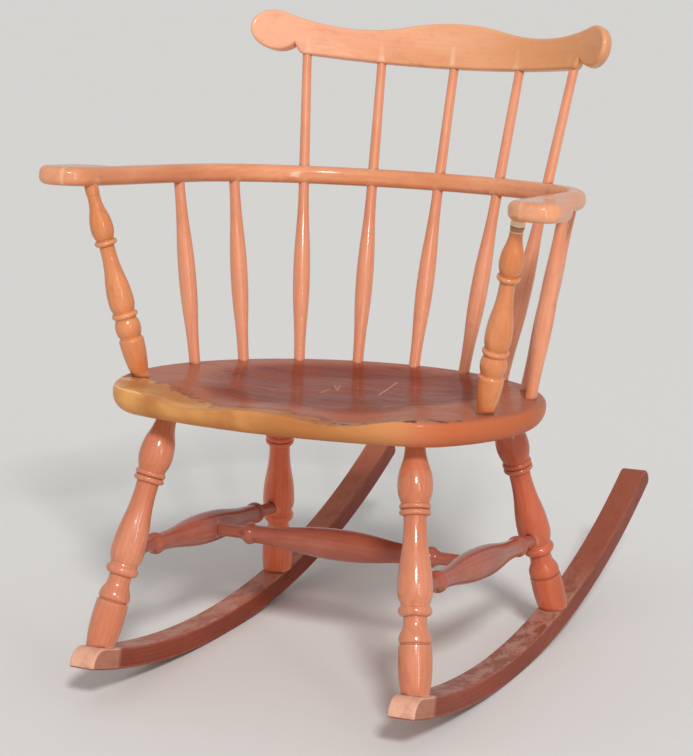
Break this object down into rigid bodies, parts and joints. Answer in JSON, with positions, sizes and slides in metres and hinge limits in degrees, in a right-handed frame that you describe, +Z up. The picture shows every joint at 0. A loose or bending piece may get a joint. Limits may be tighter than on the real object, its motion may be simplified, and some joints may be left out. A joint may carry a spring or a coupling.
{
  "type": "comb-back rocking chair",
  "caption": "Wooden rocking chair with a bent crest rail on tall spindles, a bent arm bow, turned legs and stretchers, and bent rockers.",
  "frame": {"origin": "on the floor, midway between the rockers, on the line where both rockers touch the floor at rest", "axes": "+Z up; -Y the way a sitter faces; +X towards the side that is right when seen from the front"},
  "size_m": [0.718, 0.8691, 0.8248],
  "materials": {
    "seat": "worn satin varnish, bare along the front edge",
    "crest_maple": "gloss varnish",
    "arm_maple": "gloss varnish, worn pale at the hands",
    "turned_maple": "gloss varnish",
    "leg_maple": "gloss varnish",
    "dark_maple": "satin varnish, scuffed"
  },
  "bodies": {
    "root": {"seat": "seat", "crest_rail": "crest_maple", "crest_pegs": "crest_maple", "arm_bow": "arm_maple", "left_hand_hold": "arm_maple", "right_hand_hold": "arm_maple", "left_arm_post": "turned_maple", "right_arm_post": "turned_maple", "long_spindle_1": "turned_maple", "long_spindle_2": "turned_maple", "long_spindle_3": "turned_maple", "long_spindle_4": "turned_maple", "long_spindle_5": "turned_maple", "left_front_short_spindle": "turned_maple", "left_rear_short_spindle": "turned_maple", "right_front_short_spindle": "turned_maple", "right_rear_short_spindle": "turned_maple", "front_left_leg": "leg_maple", "front_right_leg": "leg_maple", "rear_left_leg": "leg_maple", "rear_right_leg": "leg_maple", "left_rocker": "dark_maple", "right_rocker": "dark_maple", "left_side_stretcher": "dark_maple", "right_side_stretcher": "dark_maple", "centre_stretcher": "dark_maple"}
  },
  "joints": []
}
